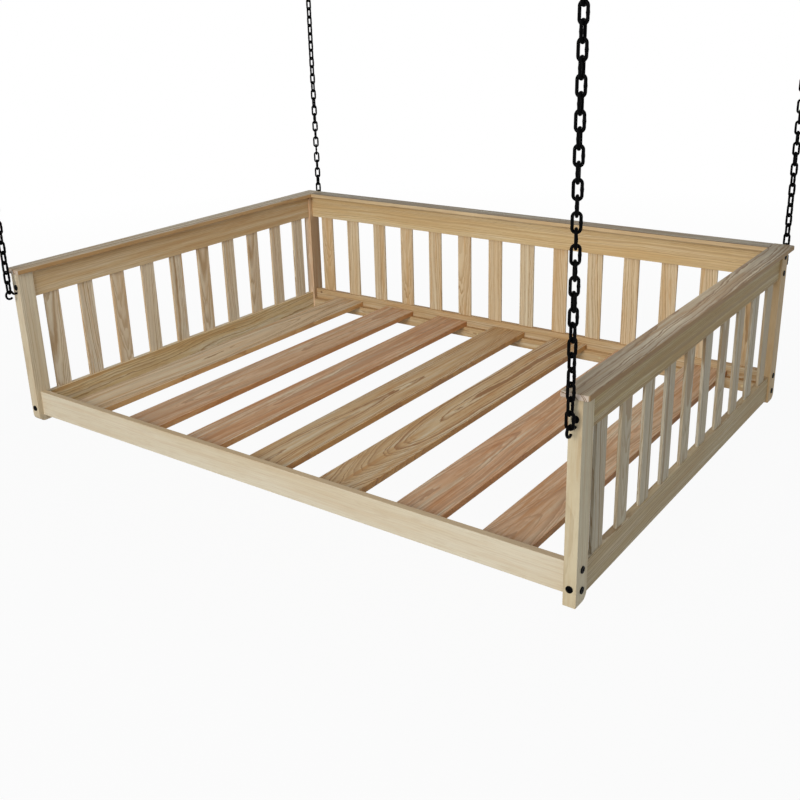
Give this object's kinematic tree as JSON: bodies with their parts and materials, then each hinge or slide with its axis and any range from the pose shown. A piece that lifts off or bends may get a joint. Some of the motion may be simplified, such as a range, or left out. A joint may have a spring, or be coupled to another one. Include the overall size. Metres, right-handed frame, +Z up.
{
  "type": "porch swing bed",
  "caption": "Hanging daybed porch swing: slatted pine side and back panels with cap boards, open front, wide cross boards as the seat, hung on black chains from screw hooks.",
  "frame": {"origin": "on the ceiling plane, at the centre of the four ceiling hooks", "axes": "+X along the bed to the right, +Y to the back panel, +Z up"},
  "size_m": [2.0406, 1.574, 1.4617],
  "materials": {
    "pine": "sanded, unfinished pine",
    "seat_pine": "planed, unfinished pine boards",
    "beech": "plain turned beech",
    "black_steel": "black powder coat, satin",
    "zinc_steel": "zinc plated"
  },
  "bodies": {
    "ceiling_hooks": {"ceiling_hook_front_left": "black_steel", "ceiling_hook_front_right": "black_steel", "ceiling_hook_rear_left": "black_steel", "ceiling_hook_rear_right": "black_steel"},
    "bed": {"post_front_left": "pine", "post_front_right": "pine", "post_rear_left": "pine", "post_rear_right": "pine", "left_bottom_rail": "pine", "left_top_rail": "pine", "left_slats": "pine", "left_cap": "pine", "right_bottom_rail": "pine", "right_top_rail": "pine", "right_slats": "pine", "right_cap": "pine", "front_rail": "pine", "back_bottom_rail": "pine", "back_top_rail": "pine", "back_slats": "pine", "back_cap": "pine", "front_ledger": "pine", "back_ledger": "pine", "seat_board_1": "seat_pine", "seat_board_2": "seat_pine", "seat_board_3": "seat_pine", "seat_board_4": "seat_pine", "seat_board_5": "seat_pine", "seat_board_6": "seat_pine", "seat_board_7": "seat_pine", "cross_rail_bolts": "black_steel", "side_rail_bolts": "black_steel", "post_hook_front_left": "black_steel", "post_hook_front_right": "black_steel", "post_hook_rear_left": "black_steel", "post_hook_rear_right": "black_steel", "barrel_nuts": "zinc_steel", "ledger_screws": "zinc_steel", "board_screws": "zinc_steel", "cap_dowels": "beech"},
    "top_link_front_left": {"top_link_front_left": "black_steel"},
    "chain_front_left": {"chain_front_left": "black_steel"},
    "bottom_link_front_left": {"bottom_link_front_left": "black_steel"},
    "top_link_front_right": {"top_link_front_right": "black_steel"},
    "chain_front_right": {"chain_front_right": "black_steel"},
    "bottom_link_front_right": {"bottom_link_front_right": "black_steel"},
    "top_link_rear_left": {"top_link_rear_left": "black_steel"},
    "chain_rear_left": {"chain_rear_left": "black_steel"},
    "bottom_link_rear_left": {"bottom_link_rear_left": "black_steel"},
    "top_link_rear_right": {"top_link_rear_right": "black_steel"},
    "chain_rear_right": {"chain_rear_right": "black_steel"},
    "bottom_link_rear_right": {"bottom_link_rear_right": "black_steel"}
  },
  "joints": [
    {"name": "sway_front_left", "type": "hinge", "parent": "ceiling_hooks", "child": "top_link_front_left", "pos_m": [-0.9868, -0.771, -0.0395], "axis": [0, 1, 0], "range_deg": [-6, 6]},
    {"name": "swing_front_left", "type": "hinge", "parent": "top_link_front_left", "child": "chain_front_left", "pos_m": [-0.9868, -0.771, -0.072], "axis": [1, 0, 0], "range_deg": [-15, 15]},
    {"name": "lower_swing_front_left", "type": "hinge", "parent": "chain_front_left", "child": "bottom_link_front_left", "pos_m": [-0.9868, -0.771, -0.9097], "axis": [1, 0, 0], "range_deg": [-15, 15]},
    {"name": "lower_sway_front_left", "type": "hinge", "parent": "bottom_link_front_left", "child": "bed", "pos_m": [-0.9868, -0.771, -0.9422], "axis": [0, 1, 0], "range_deg": [-6, 6]},
    {"name": "sway_front_right", "type": "hinge", "parent": "ceiling_hooks", "child": "top_link_front_right", "pos_m": [0.9868, -0.771, -0.0395], "axis": [0, 1, 0], "range_deg": [-6, 6]},
    {"name": "swing_front_right", "type": "hinge", "parent": "top_link_front_right", "child": "chain_front_right", "pos_m": [0.9868, -0.771, -0.072], "axis": [1, 0, 0], "range_deg": [-15, 15]},
    {"name": "lower_swing_front_right", "type": "hinge", "parent": "chain_front_right", "child": "bottom_link_front_right", "pos_m": [0.9868, -0.771, -0.9097], "axis": [1, 0, 0], "range_deg": [-15, 15]},
    {"name": "sway_rear_left", "type": "hinge", "parent": "ceiling_hooks", "child": "top_link_rear_left", "pos_m": [-0.9868, 0.771, -0.0395], "axis": [0, 1, 0], "range_deg": [-6, 6]},
    {"name": "swing_rear_left", "type": "hinge", "parent": "top_link_rear_left", "child": "chain_rear_left", "pos_m": [-0.9868, 0.771, -0.072], "axis": [1, 0, 0], "range_deg": [-15, 15]},
    {"name": "lower_swing_rear_left", "type": "hinge", "parent": "chain_rear_left", "child": "bottom_link_rear_left", "pos_m": [-0.9868, 0.771, -0.9097], "axis": [1, 0, 0], "range_deg": [-15, 15]},
    {"name": "sway_rear_right", "type": "hinge", "parent": "ceiling_hooks", "child": "top_link_rear_right", "pos_m": [0.9868, 0.771, -0.0395], "axis": [0, 1, 0], "range_deg": [-6, 6]},
    {"name": "swing_rear_right", "type": "hinge", "parent": "top_link_rear_right", "child": "chain_rear_right", "pos_m": [0.9868, 0.771, -0.072], "axis": [1, 0, 0], "range_deg": [-15, 15]},
    {"name": "lower_swing_rear_right", "type": "hinge", "parent": "chain_rear_right", "child": "bottom_link_rear_right", "pos_m": [0.9868, 0.771, -0.9097], "axis": [1, 0, 0], "range_deg": [-15, 15]}
  ],
  "couplings": [
    {"joint": "lower_sway_front_left", "follows": "sway_front_left", "ratio": -1},
    {"joint": "lower_swing_front_left", "follows": "swing_front_left", "ratio": -1},
    {"joint": "sway_front_right", "follows": "sway_front_left", "ratio": 1},
    {"joint": "swing_front_right", "follows": "swing_front_left", "ratio": 1},
    {"joint": "lower_swing_front_right", "follows": "swing_front_left", "ratio": -1},
    {"joint": "sway_rear_left", "follows": "sway_front_left", "ratio": 1},
    {"joint": "swing_rear_left", "follows": "swing_front_left", "ratio": 1},
    {"joint": "lower_swing_rear_left", "follows": "swing_front_left", "ratio": -1},
    {"joint": "sway_rear_right", "follows": "sway_front_left", "ratio": 1},
    {"joint": "swing_rear_right", "follows": "swing_front_left", "ratio": 1},
    {"joint": "lower_swing_rear_right", "follows": "swing_front_left", "ratio": -1}
  ]
}
